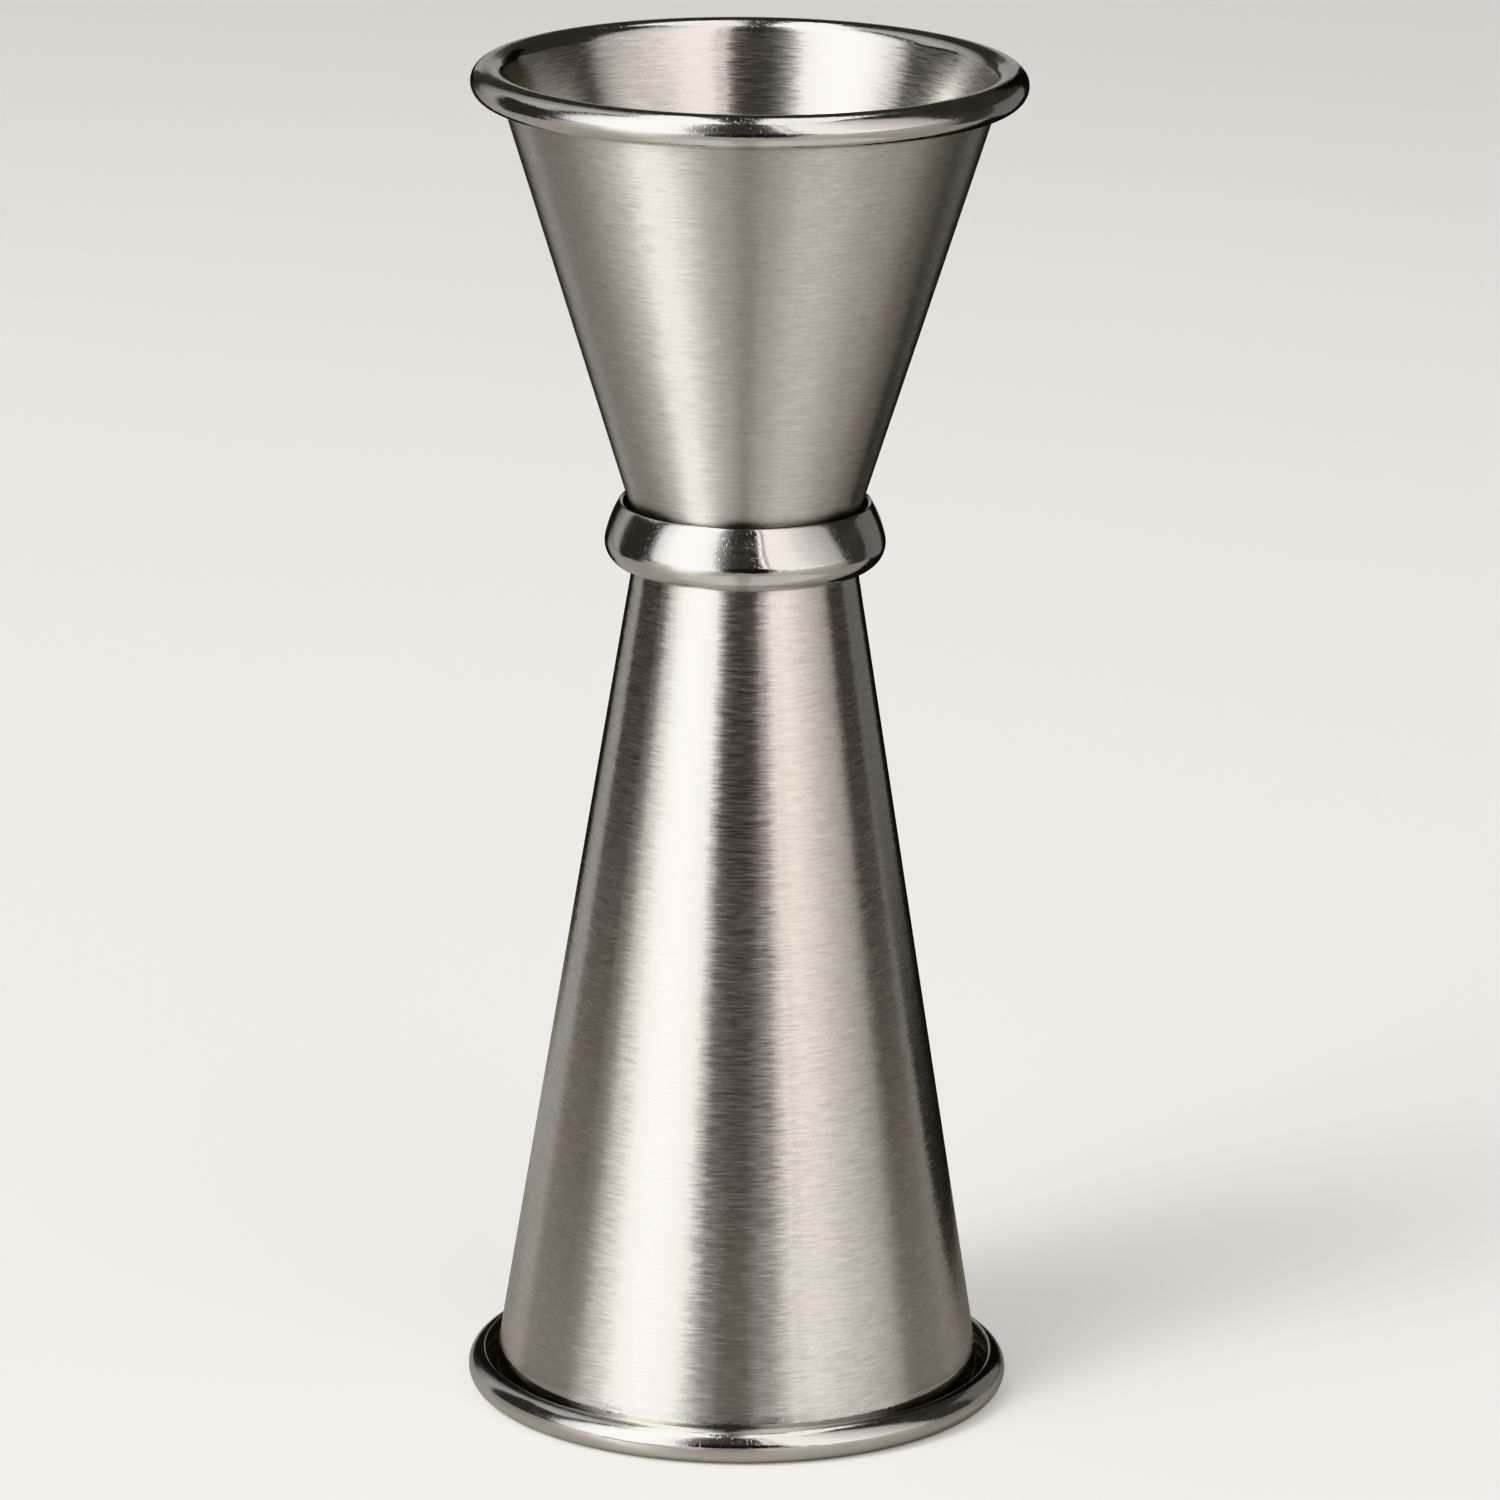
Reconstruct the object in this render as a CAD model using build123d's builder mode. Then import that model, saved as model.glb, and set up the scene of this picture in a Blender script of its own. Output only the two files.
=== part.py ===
from build123d import *

import os
from math import cos, radians, sin, tan

# Double-ended spirit measure, 30 ml over 60 ml. Millimetres, +Z up along the axis of revolution.
# The origin is the centre of the circle on which the large cup's rim stands.
# Two drawn cups meet floor to floor at the waist plane, held by one spot weld inside a pressed collar.

# Whole object
total_height = 122.3
waist_height = 80.0

# Both cups are drawn from the same sheet
cup_sheet = 0.8
floor_corner_radius = 1.6
curl_turn = 258.0
rim_land_depth = 0.03

# Small cup, mouth up
small_rim_diameter = 49.4
small_bead_diameter = 3.05
small_half_angle = 17.45

# Large cup, mouth down
large_rim_diameter = 49.1
large_bead_diameter = 3.2
large_half_angle = 9.1

# Waist collar: a bowl-shaped ring that grips the large cup's cone at its foot
collar_sheet = 0.45
collar_foot_height = 77.03
collar_diameter = 25.18
collar_corner_radius = 2.15
collar_shoulder_radius = 11.0
collar_shoulder_lean = 12.0
collar_lip_lean = 30.5
collar_lip_round = 0.15

# Spot weld between the two floors, and the dents that its electrodes leave
nugget_diameter = 4.0
nugget_thickness = 1.0
electrode_mark_diameter = 5.0
electrode_mark_depth = 0.12


def dome_radius(width, rise):
    """Radius of the sphere that a shallow dome of this width and rise is cut from."""
    return (width**2 / 4 + rise**2) / (2 * rise)


def cone_line(rim_diameter, bead_diameter, mouth_distance, half_angle):
    """Radius of a cup's inside wall at its floor, and the point where that wall meets the rim's curl.

    Both are measured in the cup's own section: X is the radius and Y the distance from the waist plane.
    """
    bead_radius = bead_diameter / 2
    slope = radians(half_angle)
    curl_centre_radius = rim_diameter / 2 - bead_radius
    curl_centre_distance = mouth_distance + rim_land_depth - bead_radius
    curl_start = (
        curl_centre_radius - bead_radius * cos(slope),
        curl_centre_distance + bead_radius * sin(slope),
    )
    floor_radius = curl_start[0] - (curl_start[1] - cup_sheet) * tan(slope)
    return floor_radius, curl_start


def draw_cup_section(rim_diameter, bead_diameter, mouth_distance, half_angle):
    """Outline of one cup's sheet: a line along its inside, thickened outwards."""
    floor_radius, curl_start = cone_line(rim_diameter, bead_diameter, mouth_distance, half_angle)
    corner_turn = 90 - half_angle
    corner_run = floor_corner_radius * tan(radians(corner_turn / 2))
    floor = Line((0, cup_sheet), (floor_radius - corner_run, cup_sheet))
    corner = JernArc(floor @ 1, floor % 1, floor_corner_radius, corner_turn)
    wall = Line(corner @ 1, curl_start)
    JernArc(wall @ 1, wall % 1, bead_diameter / 2, -curl_turn)
    offset(amount=cup_sheet, side=Side.RIGHT)


def large_cone_outside(height):
    """Outside radius of the large cup's cone at a height above the resting plane."""
    floor_radius, _ = cone_line(
        large_rim_diameter, large_bead_diameter, waist_height, large_half_angle
    )
    slope = radians(large_half_angle)
    below_floor = waist_height - cup_sheet - height
    return floor_radius + below_floor * tan(slope) + cup_sheet / cos(slope)


waist_up = Plane(origin=(0, 0, waist_height), x_dir=(1, 0, 0), z_dir=(0, -1, 0))
waist_down = Plane(origin=(0, 0, waist_height), x_dir=(1, 0, 0), z_dir=(0, 1, 0))

# Spot weld: a lens of fused metal, half in each floor
nugget_dome_radius = dome_radius(nugget_diameter, nugget_thickness / 2)
nugget_dome_centre = nugget_dome_radius - nugget_thickness / 2

with BuildPart() as floor_spot_weld:
    with Locations((0, 0, waist_height - nugget_dome_centre)):
        Sphere(nugget_dome_radius)
    with Locations((0, 0, waist_height + nugget_dome_centre)):
        Sphere(nugget_dome_radius, mode=Mode.INTERSECT)

floor_spot_weld.part.label = "floor_spot_weld"

# The electrodes' two tips where they dent the floors: domes inside the thickness of the double floor
electrode_dome_radius = dome_radius(electrode_mark_diameter, electrode_mark_depth)
electrode_dome_centre = cup_sheet + electrode_dome_radius - electrode_mark_depth

with BuildPart() as electrode_tips:
    with Locations(
        (0, 0, waist_height + electrode_dome_centre),
        (0, 0, waist_height - electrode_dome_centre),
    ):
        Sphere(electrode_dome_radius)
    with Locations((0, 0, waist_height)):
        Cylinder(electrode_mark_diameter, 2 * cup_sheet, mode=Mode.INTERSECT)

# Small cup: mouth up, its floor resting on the waist plane
with BuildPart() as upper_cup:
    with BuildSketch(waist_up):
        with BuildLine():
            draw_cup_section(
                small_rim_diameter,
                small_bead_diameter,
                total_height - waist_height,
                small_half_angle,
            )
        make_face()
    revolve(axis=Axis.Z)
    split(bisect_by=Plane.XY.offset(total_height), keep=Keep.BOTTOM)
    add(floor_spot_weld.part, mode=Mode.SUBTRACT)
    add(electrode_tips.part, mode=Mode.SUBTRACT)

upper_cup.part.label = "upper_cup"

# Large cup: the same form upside down, standing on its rim
with BuildPart() as lower_cup:
    with BuildSketch(waist_down):
        with BuildLine():
            draw_cup_section(
                large_rim_diameter,
                large_bead_diameter,
                waist_height,
                large_half_angle,
            )
        make_face()
    revolve(axis=Axis.Z)
    split(bisect_by=Plane.XY, keep=Keep.TOP)
    add(floor_spot_weld.part, mode=Mode.SUBTRACT)
    add(electrode_tips.part, mode=Mode.SUBTRACT)

lower_cup.part.label = "lower_cup"

# Collar: foot face on the cone, rounded underside, sides that lean in to a free lip
corner_centre = (
    collar_diameter / 2 - collar_corner_radius,
    collar_foot_height + collar_corner_radius,
)
shoulder_reach = collar_shoulder_radius - collar_corner_radius
shoulder_centre = (
    corner_centre[0] - shoulder_reach * cos(radians(collar_shoulder_lean)),
    corner_centre[1] - shoulder_reach * sin(radians(collar_shoulder_lean)),
)
lip_sweep = collar_lip_lean - collar_shoulder_lean
inner_foot_height = collar_foot_height + collar_sheet

with BuildPart() as waist_collar:
    with BuildSketch(Plane.XZ):
        with BuildLine():
            outer_corner = CenterArc(
                corner_centre, collar_corner_radius, -90, 90 + collar_shoulder_lean
            )
            outer_shoulder = CenterArc(
                shoulder_centre, collar_shoulder_radius, collar_shoulder_lean, lip_sweep
            )
            inner_shoulder = CenterArc(
                shoulder_centre,
                collar_shoulder_radius - collar_sheet,
                collar_shoulder_lean,
                lip_sweep,
            )
            inner_corner = CenterArc(
                corner_centre,
                collar_corner_radius - collar_sheet,
                -90,
                90 + collar_shoulder_lean,
            )
            lip = Line(outer_shoulder @ 1, inner_shoulder @ 1)
            outer_foot = (large_cone_outside(collar_foot_height), collar_foot_height)
            inner_foot = (large_cone_outside(inner_foot_height), inner_foot_height)
            Polyline(outer_corner @ 0, outer_foot, inner_foot, inner_corner @ 0)
        make_face()
        fillet(vertices().sort_by(Axis.Y)[-2:], radius=collar_lip_round)
    revolve(axis=Axis.Z)

waist_collar.part.label = "waist_collar"

os.makedirs("parts", exist_ok=True)
for sub_part in (upper_cup, lower_cup, waist_collar, floor_spot_weld):
    export_step(sub_part.part, f"parts/{sub_part.part.label}.step")
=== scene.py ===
from math import atan2, cos, pi, radians, sin, tan

import bpy
from bpy.props import FloatProperty, FloatVectorProperty, IntProperty, PointerProperty
from bpy.types import Operator, Panel, PropertyGroup
from mathutils import Matrix, Vector


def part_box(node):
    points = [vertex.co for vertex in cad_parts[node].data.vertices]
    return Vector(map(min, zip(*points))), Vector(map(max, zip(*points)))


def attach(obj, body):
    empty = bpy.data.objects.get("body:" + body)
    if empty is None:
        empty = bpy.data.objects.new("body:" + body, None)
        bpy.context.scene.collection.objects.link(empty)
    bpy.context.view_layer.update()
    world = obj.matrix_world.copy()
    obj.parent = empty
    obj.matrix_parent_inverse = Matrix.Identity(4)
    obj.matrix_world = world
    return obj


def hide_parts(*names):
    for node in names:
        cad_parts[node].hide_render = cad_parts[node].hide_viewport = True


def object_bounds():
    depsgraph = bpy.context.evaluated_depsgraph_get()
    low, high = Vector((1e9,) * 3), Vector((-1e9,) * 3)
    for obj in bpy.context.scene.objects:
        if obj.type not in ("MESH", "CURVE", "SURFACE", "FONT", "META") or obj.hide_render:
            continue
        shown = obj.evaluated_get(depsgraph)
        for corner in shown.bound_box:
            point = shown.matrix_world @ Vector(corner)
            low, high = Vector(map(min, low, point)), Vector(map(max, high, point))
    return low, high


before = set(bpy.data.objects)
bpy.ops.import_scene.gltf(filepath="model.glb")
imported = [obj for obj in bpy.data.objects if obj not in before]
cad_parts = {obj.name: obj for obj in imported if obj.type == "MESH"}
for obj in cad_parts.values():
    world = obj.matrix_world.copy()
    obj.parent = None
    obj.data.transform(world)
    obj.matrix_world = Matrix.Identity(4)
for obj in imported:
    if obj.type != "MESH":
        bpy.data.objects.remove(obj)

bl_info = {
    "name": "Bar jigger",
    "version": (1, 0, 0),
    "blender": (4, 5, 0),
    "location": "3D View > Sidebar > Jigger",
    "description": "Builds a double-ended bar jigger and the small studio it stands in",
    "category": "Object",
}

MM = 0.001
CAD_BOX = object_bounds()
SMALL_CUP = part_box("upper_cup")
LARGE_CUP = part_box("lower_cup")
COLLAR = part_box("waist_collar")

# How close counts as the same place, and how far each group of points reaches
SAME_PLACE = 1e-6
MERGE_REACH = 1e-7
FLOOR_BAND = 0.2 * MM
BEAD_MARGIN = 0.02 * MM
CUT_EDGE_ROUND = 0.1 * MM
# Folds sharper than these stay as corners when shading, and are rounded at a cut edge
SMOOTH_ANGLE = radians(35)
SHARP_ANGLE = radians(50)

# How finely the turned sections are drawn. A curl keeps some of a whole circle's sides.
ARC_SIDES = 60
CURL_SIDES_KEPT = 43
COLLAR_SIDES_KEPT = 17
COLLAR_SHOULDER_STEPS = 8
WALL_CUTS = 31
CORNER_STEPS = 12
FLOOR_STEPS = 24

# The collar's lean where its rounded underside ends and at its lip, and its foot's radius
COLLAR_SIDE_LEAN = radians(12.0)
COLLAR_LIP_LEAN = radians(30.5)
COLLAR_GRIP = 10.07 * MM

# How far the brushing draws a highlight out across its marks
SMALL_CONE_STRETCH = 0.96
LARGE_CONE_STRETCH = 0.88
INSIDE_STRETCH = 0.80
QUARTER_TURN = 0.25


def length(name, default, description):
    """A size property in metres that the sidebar shows in the scene's length unit."""
    return FloatProperty(
        name=name, description=description, default=default, min=0.0, precision=5,
        subtype="DISTANCE", unit="LENGTH",
    )


def angle(name, degrees_wide, description):
    """An angle property with its default given in degrees."""
    return FloatProperty(
        name=name, description=description, default=radians(degrees_wide), precision=3,
        subtype="ANGLE", unit="ROTATION",
    )


def factor(name, default, description, highest=1.0):
    """A plain number from nought to its highest."""
    return FloatProperty(
        name=name, description=description, default=default, min=0.0, max=highest, precision=3,
        subtype="FACTOR",
    )


def colour(name, default, description):
    """A scene-linear colour."""
    return FloatVectorProperty(
        name=name, description=description, default=default, size=3, min=0.0, max=1.0,
        subtype="COLOR",
    )


class JiggerSizes(PropertyGroup):
    sheet: length("Sheet", 0.8 * MM, "Thickness of the steel that both cups are drawn from")
    floor_corner: length("Floor corner", 1.6 * MM, "Inside radius between a cup's wall and floor")
    small_bead: length("Small bead", 3.05 * MM, "Diameter of the small cup's rolled rim")
    large_bead: length("Large bead", 3.2 * MM, "Diameter of the large cup's rolled rim")
    small_rim: length("Small rim", SMALL_CUP[1].x - SMALL_CUP[0].x, "Diameter over the small rim")
    large_rim: length("Large rim", LARGE_CUP[1].x - LARGE_CUP[0].x, "Diameter over the large rim")
    small_height: length(
        "Small height", SMALL_CUP[1].z - SMALL_CUP[0].z, "Depth outside, small cup"
    )
    large_height: length(
        "Large height", LARGE_CUP[1].z - LARGE_CUP[0].z, "Depth outside, large cup"
    )
    waist_height: length(
        "Waist height", LARGE_CUP[1].z, "Height of the plane where the floors meet"
    )
    small_slope: angle("Small slope", 17.45, "Lean of the small cup's wall from the axis")
    large_slope: angle("Large slope", 9.1, "Lean of the large cup's wall from the axis")
    dent_width: length("Dent width", 5.0 * MM, "Diameter of the dent the welding electrode leaves")
    dent_depth: length("Dent depth", 0.12 * MM, "Depth of that dent in each floor")
    collar_sheet: length("Collar sheet", 0.45 * MM, "Thickness of the collar's sheet")
    collar_foot: length("Collar foot", COLLAR[0].z, "Height of the collar's underside")
    collar_width: length("Collar width", COLLAR[1].x - COLLAR[0].x, "Diameter over the collar")
    collar_corner: length("Collar corner", 2.15 * MM, "Radius of the collar's rounded underside")
    collar_shoulder: length("Collar shoulder", 11.0 * MM, "Radius of the collar's leaning side")
    collar_round: length("Collar lip round", 0.15 * MM, "Radius on the collar's free lip")
    around: IntProperty(
        name="Faces round", description="Number of faces round each turned piece", default=256,
        min=32, max=512,
    )


class JiggerFinish(PropertyGroup):
    brushed: colour("Brushed steel", (0.62, 0.598, 0.570), "Colour of the brushed cones")
    polished: colour("Polished steel", (0.59, 0.578, 0.560), "Colour of the beads and collar")
    weld: colour("Weld metal", (0.42, 0.40, 0.37), "Colour of the fused metal in the weld")
    brushing: factor("Brushing", 0.25, "Roughness of the large cup's cone")
    small_brushing: factor("Small cup brushing", 0.34, "Roughness of the small cup's cone")
    inside: factor("Inside brushing", 0.24, "Roughness of both cups' insides")
    polish: factor("Polish", 0.12, "Roughness of the beads and collar")


class JiggerStudio(PropertyGroup):
    floor: colour("Floor", (0.94, 0.93, 0.91), "Colour of the studio floor")
    table: colour("Table", (0.59, 0.561, 0.516), "Colour of the table top that the steel mirrors")
    key: factor("Key light", 1.0, "Strength of the soft light at the left", highest=10.0)
    fill: factor("Fill light", 1.0, "Strength of the broad warm light at the right", highest=10.0)
    top: factor("Top light", 1.0, "Strength of the soft light overhead", highest=10.0)
    room: colour("Room", (0.09, 0.088, 0.082), "Dim light of the room beyond the softboxes")


# Meshes ------------------------------------------------------------------------------------


def to_edit(obj):
    """Leaves only this object selected and opens it in edit mode with nothing selected."""
    if bpy.context.mode != "OBJECT":
        bpy.ops.object.mode_set(mode="OBJECT")
    bpy.ops.object.select_all(action="DESELECT")
    obj.select_set(True)
    bpy.context.view_layer.objects.active = obj
    bpy.ops.object.mode_set(mode="EDIT")
    bpy.ops.mesh.select_mode(type="VERT")
    bpy.ops.mesh.select_all(action="DESELECT")


def pick_vertices(obj, wanted):
    """Selects the vertices whose place passes the test, in edit mode."""
    to_edit(obj)
    bpy.ops.object.mode_set(mode="OBJECT")
    count = 0
    for vertex in obj.data.vertices:
        vertex.select = wanted(vertex.co)
        count += vertex.select
    bpy.ops.object.mode_set(mode="EDIT")
    if count == 0:
        raise RuntimeError(f"nothing to select on {obj.name}")
    return count


def pick_at(obj, place):
    """Selects the one vertex at a place."""
    if pick_vertices(obj, lambda co: (co - place).length < SAME_PLACE) != 1:
        raise RuntimeError(f"{obj.name} doesn't have one vertex at {place}")


def draw_on(value):
    """Extrudes the selected vertex by a step in the section plane."""
    bpy.ops.mesh.extrude_vertices_move(TRANSFORM_OT_translate={"value": value})


def arc_wire(name, centre, radius, kept, first_angle):
    """Part of a circle in the XZ plane: `kept` of its sides, clockwise from first_angle."""
    bpy.ops.object.select_all(action="DESELECT")
    bpy.ops.mesh.primitive_circle_add(
        vertices=ARC_SIDES, radius=radius, location=centre,
        rotation=(pi / 2, pi / 2 - first_angle, 0),
    )
    wire = bpy.context.object
    wire.name = wire.data.name = name
    bpy.ops.object.transform_apply(location=True, rotation=True, scale=True)
    side = 2 * pi / ARC_SIDES
    last_turn = (kept + 0.5) * side

    def spare(co):
        turned = (first_angle - angle_of(co - centre)) % (2 * pi)
        return last_turn < turned < 2 * pi - side / 2

    pick_vertices(wire, spare)
    bpy.ops.mesh.delete(type="VERT")
    return wire


def angle_of(offset):
    """Angle of a step in the XZ plane, from +X towards +Z."""
    return atan2(offset.z, offset.x)


def on_arc(centre, radius, turned_to):
    """A point of an arc in the XZ plane."""
    return centre + Vector((cos(turned_to), 0, sin(turned_to))) * radius


def spin_round(obj, faces):
    """Turns the drawn section about the axis and closes the seam and the pole."""
    to_edit(obj)
    bpy.ops.mesh.select_all(action="SELECT")
    bpy.ops.mesh.spin(steps=faces, angle=2 * pi, center=(0, 0, 0), axis=(0, 0, 1))
    bpy.ops.mesh.select_all(action="SELECT")
    bpy.ops.mesh.remove_doubles(threshold=MERGE_REACH)
    bpy.ops.mesh.normals_make_consistent(inside=False)
    bpy.ops.object.mode_set(mode="OBJECT")


def face_the_axis(obj, inwards):
    """Flips the whole surface if its walls don't face the way that is wanted."""
    lean = 0.0
    for face in obj.data.polygons:
        out = Vector((face.center.x, face.center.y, 0))
        lean += face.normal.dot(out) * face.area
    if (lean < 0) != inwards:
        to_edit(obj)
        bpy.ops.mesh.select_all(action="SELECT")
        bpy.ops.mesh.flip_normals()
        bpy.ops.object.mode_set(mode="OBJECT")


def thicken(obj, sheet):
    """Gives the surface its sheet thickness behind its faces."""
    wall = obj.modifiers.new("Sheet", "SOLIDIFY")
    wall.thickness = sheet
    wall.offset = -1.0
    wall.use_even_offset = True
    wall.use_quality_normals = True
    wall.use_rim = True
    bpy.context.view_layer.objects.active = obj
    bpy.ops.object.modifier_apply(modifier=wall.name)


def smooth(obj):
    """Smooth shading with real corners kept sharp."""
    bpy.ops.object.select_all(action="DESELECT")
    obj.select_set(True)
    bpy.context.view_layer.objects.active = obj
    bpy.ops.object.shade_smooth_by_angle(angle=SMOOTH_ANGLE)


def round_free_edges(obj, near, radius, segments=3):
    """Rounds the sharp edges of the sheet's cut end."""
    to_edit(obj)
    bpy.ops.mesh.select_mode(type="EDGE")
    bpy.ops.mesh.edges_select_sharp(sharpness=SHARP_ANGLE)
    bpy.ops.object.mode_set(mode="OBJECT")
    for edge in obj.data.edges:
        start, end = (obj.data.vertices[number].co for number in edge.vertices)
        edge.select = edge.select and near((start + end) / 2)
    bpy.ops.object.mode_set(mode="EDIT")
    bpy.ops.mesh.bevel(offset=radius, segments=segments, profile=0.5, affect="EDGES")
    bpy.ops.object.mode_set(mode="OBJECT")


def paint_faces(obj, materials, which):
    """Gives each face the material whose number the test returns."""
    obj.data.materials.clear()
    for material in materials:
        obj.data.materials.append(material)
    for face in obj.data.polygons:
        face.material_index = which(face)


def section_place(co):
    """A point's radius from the axis, as X, and its height, as Z."""
    return Vector((Vector((co.x, co.y, 0)).length, 0, co.z))


def turn_cup(name, rim, bead, height, slope, sizes):
    """A cup's section, mouth up and standing at the origin, drawn from its curl to the axis."""
    bead_radius = bead / 2
    curl_centre = Vector((rim / 2 - bead_radius, 0, height - bead_radius))
    curl_start_angle = pi - slope
    curl_start = on_arc(curl_centre, bead_radius, curl_start_angle)
    cup = arc_wire(name, curl_centre, bead_radius, CURL_SIDES_KEPT, curl_start_angle)

    # Wall, straight down to the floor's rounded corner
    floor_edge = curl_start.x - (curl_start.z - sizes.sheet) * tan(slope)
    corner_turn = pi / 2 - slope
    corner_run = sizes.floor_corner * tan(corner_turn / 2)
    corner_centre = Vector((floor_edge - corner_run, 0, sizes.sheet + sizes.floor_corner))
    wall_end = on_arc(corner_centre, sizes.floor_corner, -slope)
    pick_at(cup, curl_start)
    draw_on(wall_end - curl_start)
    pick_vertices(
        cup, lambda co: min((co - curl_start).length, (co - wall_end).length) < SAME_PLACE
    )
    bpy.ops.mesh.subdivide(number_cuts=WALL_CUTS)

    # Corner and floor, in short steps towards the axis
    place = wall_end
    for step in range(1, CORNER_STEPS + 1):
        pick_at(cup, place)
        turn = corner_turn * step / CORNER_STEPS
        following = on_arc(corner_centre, sizes.floor_corner, -slope - turn)
        draw_on(following - place)
        place = following
    dent_sphere = (sizes.dent_width**2 / 4 + sizes.dent_depth**2) / (2 * sizes.dent_depth)
    floor_reach = place.x
    for step in range(1, FLOOR_STEPS + 1):
        stop = floor_reach * (1 - step / FLOOR_STEPS)
        pick_at(cup, place)
        sunk = 0.0
        if stop < sizes.dent_width / 2:
            sunk = sizes.dent_depth - dent_sphere + (dent_sphere**2 - stop**2) ** 0.5
        following = Vector((stop, 0, sizes.sheet - max(sunk, 0.0)))
        draw_on(following - place)
        place = following
    return cup, curl_centre


def finish_cup(cup, curl_centre, bead, sizes, mouth_down, metals):
    """Turns the section to a cup, stands it at the waist, and gives it its sheet and metals."""
    spin_round(cup, sizes.around)
    if mouth_down:
        to_edit(cup)
        bpy.ops.mesh.select_all(action="SELECT")
        bpy.ops.transform.resize(value=(1, 1, -1), center_override=(0, 0, 0))
        bpy.ops.mesh.normals_make_consistent(inside=False)
        bpy.ops.object.mode_set(mode="OBJECT")
    to_edit(cup)
    bpy.ops.mesh.select_all(action="SELECT")
    bpy.ops.transform.translate(value=(0, 0, sizes.waist_height))
    bpy.ops.object.mode_set(mode="OBJECT")
    face_the_axis(cup, inwards=True)
    thicken(cup, sizes.sheet)
    waist = sizes.waist_height
    # The floors meet flat on the waist plane, whatever the dents do inside
    pick_vertices(cup, lambda co: abs(co.z - waist) < FLOOR_BAND)
    bpy.ops.transform.resize(value=(1, 1, 0), center_override=(0, 0, waist))
    bpy.ops.object.mode_set(mode="OBJECT")
    side = -1 if mouth_down else 1
    centre = Vector((curl_centre.x, 0, waist + side * curl_centre.z))
    round_free_edges(
        cup, lambda co: (section_place(co) - centre).length < bead, CUT_EDGE_ROUND
    )
    smooth(cup)
    reach = bead / 2 + BEAD_MARGIN
    edge = section_place(centre)

    def metal_of(face):
        """0 outside, 1 on the bead, 2 inside the cup."""
        if (section_place(face.center) - edge).length < reach:
            return 1
        out = Vector((face.center.x, face.center.y, 0))
        on_floor = face.normal.z * side > 0.5 and abs(face.center.z - waist) > sizes.sheet / 2
        return 2 if face.normal.dot(out.normalized()) < -0.5 or on_floor else 0

    paint_faces(cup, metals, metal_of)


# Materials ---------------------------------------------------------------------------------


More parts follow.
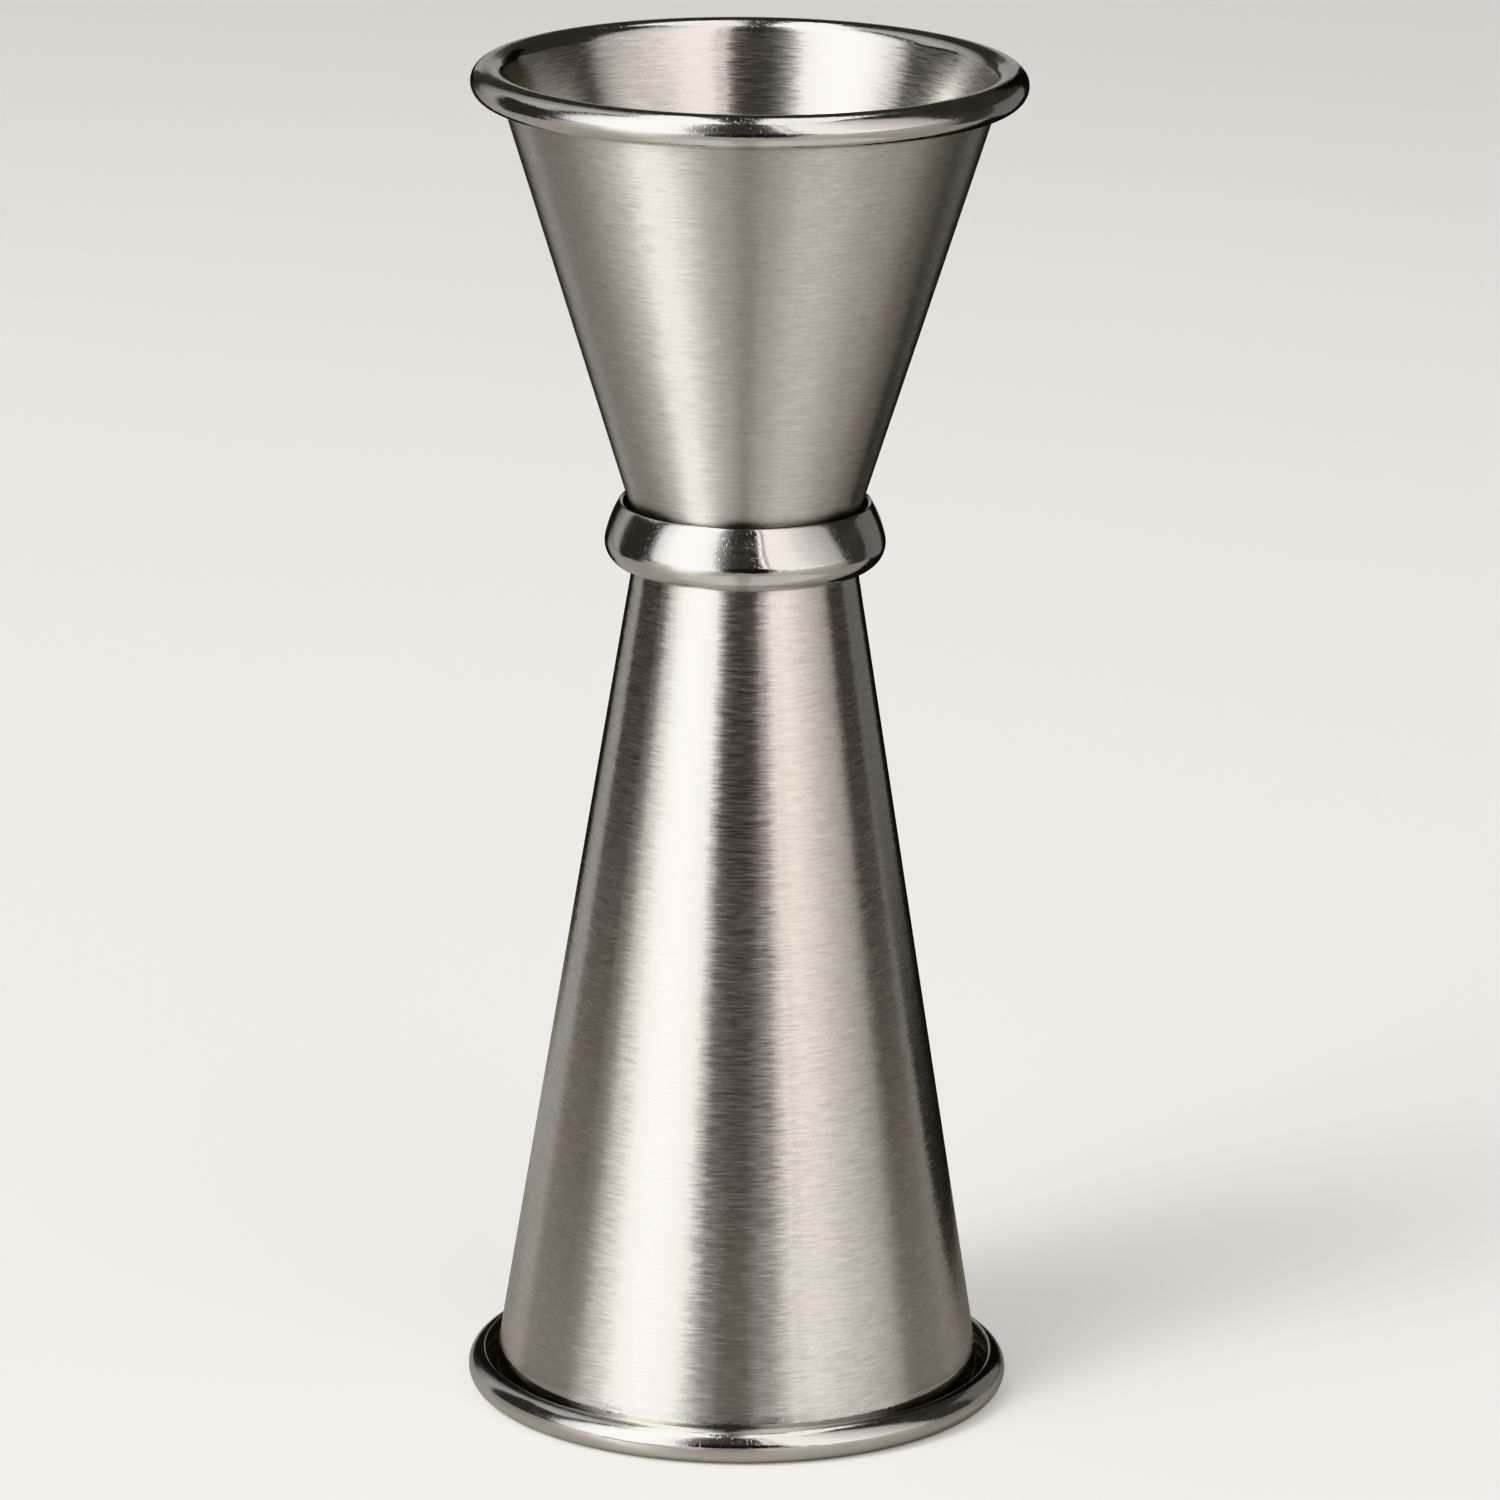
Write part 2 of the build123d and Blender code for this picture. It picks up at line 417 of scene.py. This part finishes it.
class Nodes:
    """Adds shader nodes to one material and wires them."""

    def __init__(self, name):
        self.material = bpy.data.materials.new(name)
        self.material.use_nodes = True
        self.tree = self.material.node_tree
        self.shader = self.tree.nodes["Principled BSDF"]

    def add(self, kind, inputs=None, **settings):
        """A new node with its settings made and its inputs set or wired."""
        node = self.tree.nodes.new(kind)
        for key, value in settings.items():
            setattr(node, key, value)
        for key, value in (inputs or {}).items():
            self.put(node.inputs[key], value)
        return node

    def put(self, socket, value):
        """Wires a socket's value into this one, or sets a constant on it."""
        if isinstance(value, bpy.types.NodeSocket):
            self.tree.links.new(value, socket)
        else:
            socket.default_value = value

    def maths(self, operation, *values):
        """One sum of two or three values."""
        return self.add("ShaderNodeMath", dict(enumerate(values)), operation=operation).outputs[0]

    def spread(self, value, low, high, new_low, new_high):
        """Stretches a value from one range to another, held at the ends."""
        ends = {"From Min": low, "From Max": high, "To Min": new_low, "To Max": new_high}
        return self.add("ShaderNodeMapRange", {"Value": value, **ends}).outputs["Result"]

    def place(self):
        """X and Y, and the way along the section: height plus radius."""
        where = self.add("ShaderNodeTexCoord").outputs["Object"]
        parts = self.add("ShaderNodeSeparateXYZ", {0: where})
        flat = self.add("ShaderNodeCombineXYZ", {0: parts.outputs[0], 1: parts.outputs[1]})
        radius = self.add("ShaderNodeVectorMath", {0: flat.outputs[0]}, operation="LENGTH")
        along = self.maths("ADD", parts.outputs[2], radius.outputs["Value"])
        return where, parts, along

    def marks(self, parts, along, round_rate, along_rate, detail=2.0, roughness=0.5, shift=0.0):
        """Noise drawn out round the axis: rates are features per metre round and along."""
        vector = self.add(
            "ShaderNodeCombineXYZ",
            {
                0: self.maths("MULTIPLY", parts.outputs[0], round_rate),
                1: self.maths("MULTIPLY", parts.outputs[1], round_rate),
                2: self.maths("MULTIPLY_ADD", along, along_rate, shift),
            },
        )
        noise = self.add(
            "ShaderNodeTexNoise",
            {"Vector": vector.outputs[0], "Scale": 1.0, "Detail": detail, "Roughness": roughness},
        )
        return noise.outputs[0]

    def blotches(self, where, rate, detail=2.0, shift=(0.0, 0.0, 0.0)):
        """Plain noise, in features per metre."""
        moved = self.add("ShaderNodeVectorMath", {0: where, 1: shift}, operation="ADD")
        noise = self.add(
            "ShaderNodeTexNoise",
            {"Vector": moved.outputs[0], "Scale": rate, "Detail": detail, "Roughness": 0.55},
        )
        return noise.outputs[0]

    def swung_normal(self, parts, swing):
        """The surface normal turned a little round the axis, line by line, as a belt leaves it."""
        against_y = self.maths("MULTIPLY", parts.outputs[1], -1.0)
        tangent = self.add("ShaderNodeCombineXYZ", {0: against_y, 1: parts.outputs[0]})
        unit = self.add("ShaderNodeVectorMath", {0: tangent.outputs[0]}, operation="NORMALIZE")
        step = self.add(
            "ShaderNodeVectorMath", {0: unit.outputs[0], "Scale": swing}, operation="SCALE"
        )
        plain = self.add("ShaderNodeNewGeometry").outputs["Normal"]
        both = self.add("ShaderNodeVectorMath", {0: plain, 1: step.outputs[0]}, operation="ADD")
        swung = self.add("ShaderNodeVectorMath", {0: both.outputs[0]}, operation="NORMALIZE")
        return swung.outputs[0]

    def tint(self, base, *shades):
        """The base colour darkened or lightened by each shade in turn."""
        level = shades[0]
        for shade in shades[1:]:
            level = self.maths("MULTIPLY", level, shade)
        scaled = self.add(
            "ShaderNodeVectorMath", {0: tuple(base), "Scale": level}, operation="SCALE"
        )
        return scaled.outputs[0]

    def bump(self, height, distance, after=None):
        """Relief of this depth in metres, laid over the relief before it."""
        inputs = {"Height": height, "Distance": distance, "Strength": 1.0}
        if after is not None:
            inputs["Normal"] = after
        return self.add("ShaderNodeBump", inputs).outputs[0]


def brushed_steel(name, base, roughness, anisotropy):
    """Steel turned against an abrasive belt: fine marks round the axis, blurred along it."""
    nodes = Nodes(name)
    where, parts, along = nodes.place()
    fine = nodes.marks(parts, along, 560.0, 6400.0, detail=1.0, roughness=0.5)
    grain = nodes.blotches(where, 6000.0, detail=1.0, shift=(0.2, 0.5, 0.4))
    broad = nodes.marks(parts, along, 90.0, 1900.0, detail=2.0, shift=7.3)
    swing = nodes.marks(parts, along, 640.0, 5200.0, detail=1.0, roughness=0.5, shift=31.7)
    stray = nodes.marks(parts, along, 900.0, 8200.0, detail=1.0, shift=57.9)
    patches = nodes.blotches(where, 45.0, detail=3.0)
    shader = nodes.shader
    nodes.put(
        shader.inputs["Base Color"],
        nodes.tint(
            base,
            nodes.spread(fine, 0.3, 0.7, 0.87, 1.09),
            nodes.spread(grain, 0.3, 0.7, 0.94, 1.04),
            nodes.spread(broad, 0.3, 0.7, 0.975, 1.02),
            nodes.spread(patches, 0.3, 0.7, 0.975, 1.02),
        ),
    )
    rough = nodes.maths(
        "ADD",
        nodes.spread(fine, 0.25, 0.75, roughness - 0.03, roughness + 0.03),
        nodes.spread(patches, 0.3, 0.7, -0.015, 0.015),
    )
    nodes.put(shader.inputs["Roughness"], rough)
    shader.inputs["Metallic"].default_value = 1.0
    shader.inputs["Anisotropic"].default_value = anisotropy
    shader.inputs["Anisotropic Rotation"].default_value = QUARTER_TURN
    turned_marks = nodes.swung_normal(parts, nodes.spread(swing, 0.25, 0.75, -0.016, 0.016))
    first = nodes.bump(fine, 1.7e-6, after=turned_marks)
    scratches = nodes.spread(stray, 0.68, 0.82, 0.0, 1.0)
    nodes.put(shader.inputs["Normal"], nodes.bump(scratches, 2.5e-6, after=first))
    return nodes.material


def polished_steel(name, base, roughness):
    """Buffed steel: close to a mirror, with faint buffing marks, smears and pinprick wear."""
    nodes = Nodes(name)
    where, parts, along = nodes.place()
    lines = nodes.marks(parts, along, 300.0, 7000.0, detail=2.0)
    smears = nodes.blotches(where, 320.0, detail=3.0)
    specks = nodes.blotches(where, 4600.0, detail=1.0, shift=(0.3, 0.1, 0.7))
    pinpricks = nodes.spread(specks, 0.60, 0.74, 0.0, 1.0)
    shader = nodes.shader
    nodes.put(
        shader.inputs["Base Color"],
        nodes.tint(
            base,
            nodes.spread(lines, 0.3, 0.7, 0.97, 1.02),
            nodes.spread(smears, 0.3, 0.7, 0.97, 1.02),
        ),
    )
    rough = nodes.maths(
        "ADD",
        nodes.spread(smears, 0.3, 0.7, roughness - 0.04, roughness + 0.05),
        nodes.spread(lines, 0.3, 0.7, -0.02, 0.03),
    )
    nodes.put(shader.inputs["Roughness"], rough)
    shader.inputs["Metallic"].default_value = 1.0
    first = nodes.bump(lines, 1.5e-6)
    ripple = nodes.bump(smears, 1.2e-5, after=first)
    nodes.put(shader.inputs["Normal"], nodes.bump(pinpricks, 5.0e-6, after=ripple))
    return nodes.material


def weld_metal(name, base):
    """Once-molten metal: dull, with a ripple and heat colours."""
    nodes = Nodes(name)
    where, _, _ = nodes.place()
    ripple = nodes.blotches(where, 1800.0, detail=3.0)
    heat = nodes.blotches(where, 500.0, detail=1.0)
    shader = nodes.shader
    ramp = nodes.add("ShaderNodeValToRGB", {"Fac": heat})
    ramp.color_ramp.elements[0].color = (base[0], base[1], base[2], 1)
    ramp.color_ramp.elements[0].position = 0.35
    ramp.color_ramp.elements[1].color = (base[0] * 1.1, base[1] * 0.85, base[2] * 0.6, 1)
    ramp.color_ramp.elements[1].position = 0.7
    nodes.put(shader.inputs["Base Color"], ramp.outputs[0])
    nodes.put(shader.inputs["Roughness"], nodes.spread(ripple, 0.3, 0.7, 0.42, 0.62))
    shader.inputs["Metallic"].default_value = 1.0
    nodes.put(shader.inputs["Normal"], nodes.bump(ripple, 2e-5))
    return nodes.material


# Pieces ------------------------------------------------------------------------------------


class JIGGER_OT_small_cup(Operator):
    """Make the small cup: cone, floor and rolled rim from one sheet"""

    bl_idname = "jigger.small_cup"
    bl_label = "Small cup"

    def execute(self, context):
        sizes, finish = context.scene.jigger_sizes, context.scene.jigger_finish
        cup, curl_centre = turn_cup(
            "small_cup_steel", sizes.small_rim, sizes.small_bead, sizes.small_height,
            sizes.small_slope, sizes,
        )
        cone = brushed_steel(
            "brushed_small_cup", finish.brushed, finish.small_brushing, SMALL_CONE_STRETCH
        )
        bead = polished_steel("polished_small_rim", finish.polished, finish.polish)
        inside = brushed_steel(
            "brushed_small_inside", finish.brushed, finish.inside, INSIDE_STRETCH
        )
        finish_cup(cup, curl_centre, sizes.small_bead, sizes, False, (cone, bead, inside))
        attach(cup, "root")
        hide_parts("upper_cup")
        return {"FINISHED"}


class JIGGER_OT_large_cup(Operator):
    """Make the large cup, mouth down: the same form as the small one, standing on its rim"""

    bl_idname = "jigger.large_cup"
    bl_label = "Large cup"

    def execute(self, context):
        sizes, finish = context.scene.jigger_sizes, context.scene.jigger_finish
        cup, curl_centre = turn_cup(
            "large_cup_steel", sizes.large_rim, sizes.large_bead, sizes.large_height,
            sizes.large_slope, sizes,
        )
        cone = brushed_steel(
            "brushed_large_cup", finish.brushed, finish.brushing, LARGE_CONE_STRETCH
        )
        bead = polished_steel("polished_large_rim", finish.polished, finish.polish)
        inside = brushed_steel(
            "brushed_large_inside", finish.brushed, finish.inside, INSIDE_STRETCH
        )
        finish_cup(cup, curl_centre, sizes.large_bead, sizes, True, (cone, bead, inside))
        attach(cup, "root")
        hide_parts("lower_cup")
        return {"FINISHED"}


class JIGGER_OT_waist_collar(Operator):
    """Make the polished collar that grips the large cup at the waist"""

    bl_idname = "jigger.waist_collar"
    bl_label = "Waist collar"

    def execute(self, context):
        sizes, finish = context.scene.jigger_sizes, context.scene.jigger_finish
        corner, shoulder = sizes.collar_corner, sizes.collar_shoulder
        corner_centre = Vector((sizes.collar_width / 2 - corner, 0, sizes.collar_foot + corner))
        towards_shoulder = Vector((cos(COLLAR_SIDE_LEAN), 0, sin(COLLAR_SIDE_LEAN)))
        shoulder_centre = corner_centre - towards_shoulder * (shoulder - corner)
        foot = on_arc(corner_centre, corner, -pi / 2)

        # The arc runs clockwise from the side down to the foot
        collar = arc_wire(
            "waist_collar_ring", corner_centre, corner, COLLAR_SIDES_KEPT, COLLAR_SIDE_LEAN
        )
        lip = on_arc(corner_centre, corner, COLLAR_SIDE_LEAN)
        further = COLLAR_LIP_LEAN - COLLAR_SIDE_LEAN
        for step in range(1, COLLAR_SHOULDER_STEPS + 1):
            pick_at(collar, lip)
            lean = COLLAR_SIDE_LEAN + further * step / COLLAR_SHOULDER_STEPS
            following = on_arc(shoulder_centre, shoulder, lean)
            draw_on(following - lip)
            lip = following
        pick_at(collar, foot)
        draw_on(Vector((COLLAR_GRIP - foot.x, 0, 0)))
        spin_round(collar, sizes.around)
        face_the_axis(collar, inwards=False)
        thicken(collar, sizes.collar_sheet)
        round_free_edges(collar, lambda co: co.z > lip.z - MM, sizes.collar_round, segments=4)
        smooth(collar)
        metal = polished_steel("polished_collar", finish.polished, finish.polish)
        paint_faces(collar, (metal,), lambda face: 0)
        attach(collar, "root")
        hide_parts("waist_collar")
        return {"FINISHED"}


class JIGGER_OT_spot_weld(Operator):
    """Give the weld nugget between the floors its metal; its modelled shape is kept"""

    bl_idname = "jigger.spot_weld"
    bl_label = "Spot weld"

    def execute(self, context):
        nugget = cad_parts["floor_spot_weld"]
        nugget.data.materials.clear()
        nugget.data.materials.append(weld_metal("weld_nugget", context.scene.jigger_finish.weld))
        return {"FINISHED"}


# Studio ------------------------------------------------------------------------------------

CARD_DISTANCE = 0.9
CARD_HEIGHT = 2.4
FLOOR_SIZE = 8.0
FLOOR_GLOW = 0.2
TABLE_DROP = 0.1 * MM
SHEET_RISE = 0.3 * MM
OVERHEAD_FRONT, OVERHEAD_BACK = -1.0, 1.1
CLOTH = 0.10

# Brightness across each light card, as (azimuth in degrees, level). Azimuths are counted from
# the front, which is -Y, and grow towards the right, which is +X.
KEY_LEVELS = (
    (-92, CLOTH), (-79, CLOTH), (-75, 0.4), (-70.5, 1.3), (-64, 1.4), (-57, 2.0), (-50, 4.9),
    (-45, 6.4), (-40, 6.4), (-35, 4.9), (-29, 3.3), (-25, 2.1), (-20, 0.9), (-15, 0.3),
    (-9, CLOTH), (-3, CLOTH),
)
FILL_LEVELS = (
    (-3, CLOTH), (26.3, CLOTH), (27.2, 2.3), (29.6, 2.3), (30.1, 0.3), (32.6, 0.3),
    (33.1, 1.75), (42, 1.90), (50, 1.68), (62, 1.25), (76, 0.92), (88, 0.64), (91, CLOTH),
    (98, CLOTH),
)
LEFT_BACK_LEVELS = (
    (-152, 0.08), (-148, 0.08), (-143, 0.32), (-128, 0.60), (-124, 0.40), (-120, 0.70),
    (-97, 0.70), (-92, 0.10),
)
# Even cards standing on the table, the two darkest at the right a painted shadow: name, first and
# last azimuth, distance, height, level
FLAGS = (
    ("front_flag", -18, 19, 0.33, 0.11, 0.03),
    ("left_flag", -122, -90, 0.30, 0.25, 0.08),
    ("far_left_flag", -168, -147, 0.17, 0.12, 0.04),
    # A dark card that paints the jigger's shadow on the table into the steel's reflections
    ("right_painted_shadow_flag", 146, 164, 0.17, 0.20, 0.02),
    # A dim card that paints the jigger's shadow on the table, at the right, into the steel's
    # reflections
    ("low_right_painted_shadow_flag", 92, 114, 0.25, 0.16, 0.11),
    ("right_middle_flag", 114, 147, 0.25, 0.16, 0.26),
    ("back_card", 164, 196, 1.2, 0.42, 0.45),
)
# Sheets lying on the table, the darkest a painted shadow: name, azimuth of one edge, which side
# of it they lie (1 is the side of growing azimuth), width, nearest and farthest distance, level
TABLE_SHEETS = (
    # A dark sheet that paints the jigger's shadow on the table into the steel's reflections
    ("right_painted_shadow_sheet", 123, 1, 0.30, 0.06, 0.60, 0.035),
    ("front_left_sheet", -9, -1, 0.065, 0.03, 0.15, 0.90),
    ("front_right_sheet", 6, 1, 0.10, 0.03, 0.15, 0.85),
    ("left_pale_sheet", -125, -1, 0.06, 0.08, 0.50, 0.50),
)
# Panels above the jigger: name, left and right edge, level
OVERHEADS = (
    ("left_overhead", -1.5, -0.30, 3.0),
    ("right_overhead", 0.08, 0.85, 1.8),
)

# The camera's rise, its small turns, its distance from the jigger's middle, and its lens
CAMERA_RISE = radians(14.983)
CAMERA_PAN, CAMERA_TILT, CAMERA_ROLL = radians(-0.0449), radians(-0.0987), radians(-0.5967)
CAMERA_DISTANCE = 0.8096
LENS_MM, SENSOR_MM = 215.97, 36.0


def plane(name, width, depth, location, rotation=(0, 0, 0)):
    """A flat panel: width along its own X, depth along its own Y."""
    bpy.ops.object.select_all(action="DESELECT")
    bpy.ops.mesh.primitive_plane_add(size=1.0)
    panel = bpy.context.object
    panel.name = panel.data.name = name
    panel.scale = (width, depth, 1)
    panel.location = location
    panel.rotation_euler = rotation
    return panel


def outwards(azimuth):
    """The level direction at an azimuth in radians."""
    return Vector((sin(azimuth), -cos(azimuth), 0))


def glow(nodes, shade, strength):
    """Swaps a material's shader for plain light."""
    nodes.tree.nodes.remove(nodes.shader)
    light = nodes.add("ShaderNodeEmission", {"Color": shade, "Strength": strength})
    surface = nodes.tree.nodes["Material Output"].inputs["Surface"]
    nodes.tree.links.new(light.outputs[0], surface)


def card(name, levels, tint, strength, first_leans=(), last_leans=()):
    """An upright light card facing the jigger, from its first level's azimuth to its last's.

    Each lean is (from height, to height, how far left that edge moves over the climb).
    """
    first, last = levels[0][0], levels[-1][0]
    middle, half = (first + last) / 2, (last - first) / 2
    width = 2 * CARD_DISTANCE * tan(radians(half))
    facing = radians(middle)
    spot = outwards(facing) * CARD_DISTANCE + Vector((0, 0, CARD_HEIGHT / 2))
    panel = plane(name, width, CARD_HEIGHT, spot, (pi / 2, 0, facing + pi))
    nodes = Nodes(name + "_light")
    where = nodes.add("ShaderNodeTexCoord").outputs["Object"]
    parts = nodes.add("ShaderNodeSeparateXYZ", {0: where})
    # The panel's own X falls from 0.5 at its first azimuth to -0.5 at its last
    across = nodes.maths("ADD", nodes.maths("MULTIPLY", parts.outputs[0], -1.0), 0.5)
    from_first = nodes.maths("SUBTRACT", 1.0, across)
    leant = across
    for leans, share in ((first_leans, from_first), (last_leans, across)):
        for start, end, shift in leans:
            start, end = start / CARD_HEIGHT - 0.5, end / CARD_HEIGHT - 0.5
            climb = nodes.spread(parts.outputs[1], start, end, 0.0, shift / width)
            leant = nodes.maths("ADD", leant, nodes.maths("MULTIPLY", climb, share))
    ramp = nodes.add("ShaderNodeValToRGB", {"Fac": leant})
    stops = ramp.color_ramp
    peak = max(level for _, level in levels)
    stops.elements.remove(stops.elements[-1])
    for number, (azimuth, level) in enumerate(levels):
        position = 0.5 + 0.5 * tan(radians(azimuth - middle)) / tan(radians(half))
        stop = stops.elements[0] if number == 0 else stops.elements.new(position)
        stop.position = position
        stop.color = tuple(part * level / peak for part in tint) + (1.0,)
    stops.interpolation = "LINEAR"
    glow(nodes, ramp.outputs[0], peak * strength)
    panel.data.materials.append(nodes.material)
    panel.visible_camera = panel.visible_shadow = False


def dim_glow(panel, level):
    """Makes a panel an even grey that only the steel's reflections show."""
    nodes = Nodes(panel.name + "_cloth")
    glow(nodes, (1.0, 0.98, 0.93, 1.0), level)
    nodes.material.cycles.emission_sampling = "NONE"
    panel.data.materials.append(nodes.material)
    panel.visible_camera = panel.visible_shadow = panel.visible_diffuse = False


def flag(name, first, last, distance, height, level):
    """An even card standing on the table; a dark one paints shade into the steel's reflections."""
    middle, half = radians((first + last) / 2), radians((last - first) / 2)
    spot = outwards(middle) * distance + Vector((0, 0, height / 2))
    dim_glow(plane(name, 2 * distance * tan(half), height, spot, (pi / 2, 0, middle)), level)


def table_sheet(name, azimuth, side, width, near, far, level):
    """An even sheet lying on the table with one edge along a line out from the jigger; a dark one
    paints shadow into the steel's reflections.
    """
    out = radians(azimuth)
    run = outwards(out) * (near + far) / 2
    shift = outwards(radians(azimuth + 90 * side)) * width / 2
    spot = run + shift + Vector((0, 0, SHEET_RISE))
    dim_glow(plane(name, width, far - near, spot, (0, 0, out)), level)


def overhead(name, left, right, level):
    """An even panel above the jigger."""
    spot = Vector(((left + right) / 2, (OVERHEAD_FRONT + OVERHEAD_BACK) / 2, CARD_HEIGHT))
    dim_glow(plane(name, right - left, OVERHEAD_BACK - OVERHEAD_FRONT, spot), level)


def flat_floor(name, colour_value, height):
    """A wide matt floor, faintly uneven in tone, and its shader."""
    bpy.ops.object.select_all(action="DESELECT")
    bpy.ops.mesh.primitive_plane_add(size=FLOOR_SIZE, location=(0, 0, height))
    floor = bpy.context.object
    floor.name = floor.data.name = name
    nodes = Nodes(name + "_paint")
    where = nodes.add("ShaderNodeTexCoord").outputs["Object"]
    grain = nodes.spread(nodes.blotches(where, 6.0, detail=2.0), 0.3, 0.7, 0.99, 1.01)
    nodes.put(nodes.shader.inputs["Base Color"], nodes.tint(colour_value, grain))
    nodes.shader.inputs["Roughness"].default_value = 0.9
    nodes.shader.inputs["Specular IOR Level"].default_value = 0.0
    floor.data.materials.append(nodes.material)
    return floor, nodes.shader


def lay_floors(studio):
    """The pale floor that the camera sees, and the table under it that the steel mirrors."""
    floor, paint = flat_floor("studio_floor", studio.floor, 0.0)
    floor.visible_glossy = floor.visible_diffuse = floor.visible_shadow = False
    paint.inputs["Emission Color"].default_value = (*studio.floor, 1.0)
    paint.inputs["Emission Strength"].default_value = FLOOR_GLOW
    table, varnish = flat_floor("studio_table", studio.table, -TABLE_DROP)
    table.visible_camera = table.visible_shadow = False
    varnish.inputs["Roughness"].default_value = 0.3
    varnish.inputs["Specular IOR Level"].default_value = 0.8


def set_lights(scene, studio):
    """The light cards, the even panels between them, the top light and the dim room."""
    card(
        "key_softbox", KEY_LEVELS, (1.0, 0.985, 0.965), studio.key,
        first_leans=((0.0, 0.12, 0.19),), last_leans=((0.10, 0.50, 0.06),),
    )
    card(
        "fill_panel", FILL_LEVELS, (1.0, 0.95, 0.91), studio.fill,
        first_leans=((0.07, 0.16, 0.28), (0.20, 0.50, 0.06)),
        last_leans=((0.10, 0.50, 0.14),),
    )
    card("left_back_panel", LEFT_BACK_LEVELS, (1.0, 0.98, 0.95), 1.0)
    for settings in FLAGS:
        flag(*settings)
    for settings in TABLE_SHEETS:
        table_sheet(*settings)
    for settings in OVERHEADS:
        overhead(*settings)

    top = bpy.data.lights.new("top_softbox", "AREA")
    top.shape = "RECTANGLE"
    top.size, top.size_y = 1.0, 0.8
    top.energy = 2.2 * studio.top
    top.color = (1.0, 0.97, 0.93)
    softbox = bpy.data.objects.new("top_softbox", top)
    softbox.location = (0.0, 0.0, 1.3)
    softbox.visible_glossy = softbox.visible_camera = False
    scene.collection.objects.link(softbox)

    world = bpy.data.worlds.new("room")
    world.use_nodes = True
    world.node_tree.nodes["Background"].inputs[0].default_value = (*studio.room, 1.0)
    scene.world = world


def turned(axis, by, *vectors):
    """Vectors turned about an axis, right-handed."""
    rotation = Matrix.Rotation(by, 3, axis)
    return [rotation @ vector for vector in vectors]


def place_camera(scene):
    """A long lens in front of the jigger and a little above it."""
    back = Vector((0, -cos(CAMERA_RISE), sin(CAMERA_RISE)))
    spot = Vector((0, 0, (CAD_BOX[0].z + CAD_BOX[1].z) / 2)) + back * CAMERA_DISTANCE
    ahead, right = -back, Vector((1, 0, 0))
    up = right.cross(ahead)
    ahead, right = turned(up, CAMERA_PAN, ahead, right)
    ahead, up = turned(right, CAMERA_TILT, ahead, up)
    right, up = turned(ahead, CAMERA_ROLL, right, up)
    data = bpy.data.cameras.new("studio_camera")
    data.sensor_width = SENSOR_MM
    data.lens = LENS_MM
    data.clip_start, data.clip_end = 0.05, 50.0
    camera = bpy.data.objects.new("studio_camera", data)
    scene.collection.objects.link(camera)
    facing = Matrix((right, up, -ahead)).transposed()
    camera.matrix_world = Matrix.Translation(spot) @ facing.to_4x4()
    scene.camera = camera


class JIGGER_OT_studio(Operator):
    """Set the floor, the soft lights and the camera"""

    bl_idname = "jigger.studio"
    bl_label = "Studio"

    def execute(self, context):
        scene = context.scene
        scene.view_settings.view_transform = "Khronos PBR Neutral"
        lay_floors(scene.jigger_studio)
        set_lights(scene, scene.jigger_studio)
        place_camera(scene)
        return {"FINISHED"}


class JIGGER_PT_sidebar(Panel):
    """Buttons and sizes in the 3D view's sidebar"""

    bl_label = "Bar jigger"
    bl_idname = "JIGGER_PT_sidebar"
    bl_space_type = "VIEW_3D"
    bl_region_type = "UI"
    bl_category = "Jigger"

    def draw(self, context):
        for make in MAKERS:
            self.layout.operator(make.bl_idname, text=make.bl_label)
        scene = context.scene
        for group in (scene.jigger_sizes, scene.jigger_finish, scene.jigger_studio):
            box = self.layout.box()
            for name in group.bl_rna.properties.keys():
                if name not in {"rna_type", "name"}:
                    box.prop(group, name)


MAKERS = (
    JIGGER_OT_small_cup,
    JIGGER_OT_large_cup,
    JIGGER_OT_waist_collar,
    JIGGER_OT_spot_weld,
    JIGGER_OT_studio,
)
CLASSES = (JiggerSizes, JiggerFinish, JiggerStudio, *MAKERS, JIGGER_PT_sidebar)


def register():
    for cls in CLASSES:
        bpy.utils.register_class(cls)
    bpy.types.Scene.jigger_sizes = PointerProperty(type=JiggerSizes)
    bpy.types.Scene.jigger_finish = PointerProperty(type=JiggerFinish)
    bpy.types.Scene.jigger_studio = PointerProperty(type=JiggerStudio)


def unregister():
    del bpy.types.Scene.jigger_sizes
    del bpy.types.Scene.jigger_finish
    del bpy.types.Scene.jigger_studio
    for cls in reversed(CLASSES):
        bpy.utils.unregister_class(cls)


def main():
    register()
    bpy.ops.jigger.small_cup()
    bpy.ops.jigger.large_cup()
    bpy.ops.jigger.waist_collar()
    bpy.ops.jigger.spot_weld()
    bpy.ops.jigger.studio()


if __name__ == "__main__":
    main()
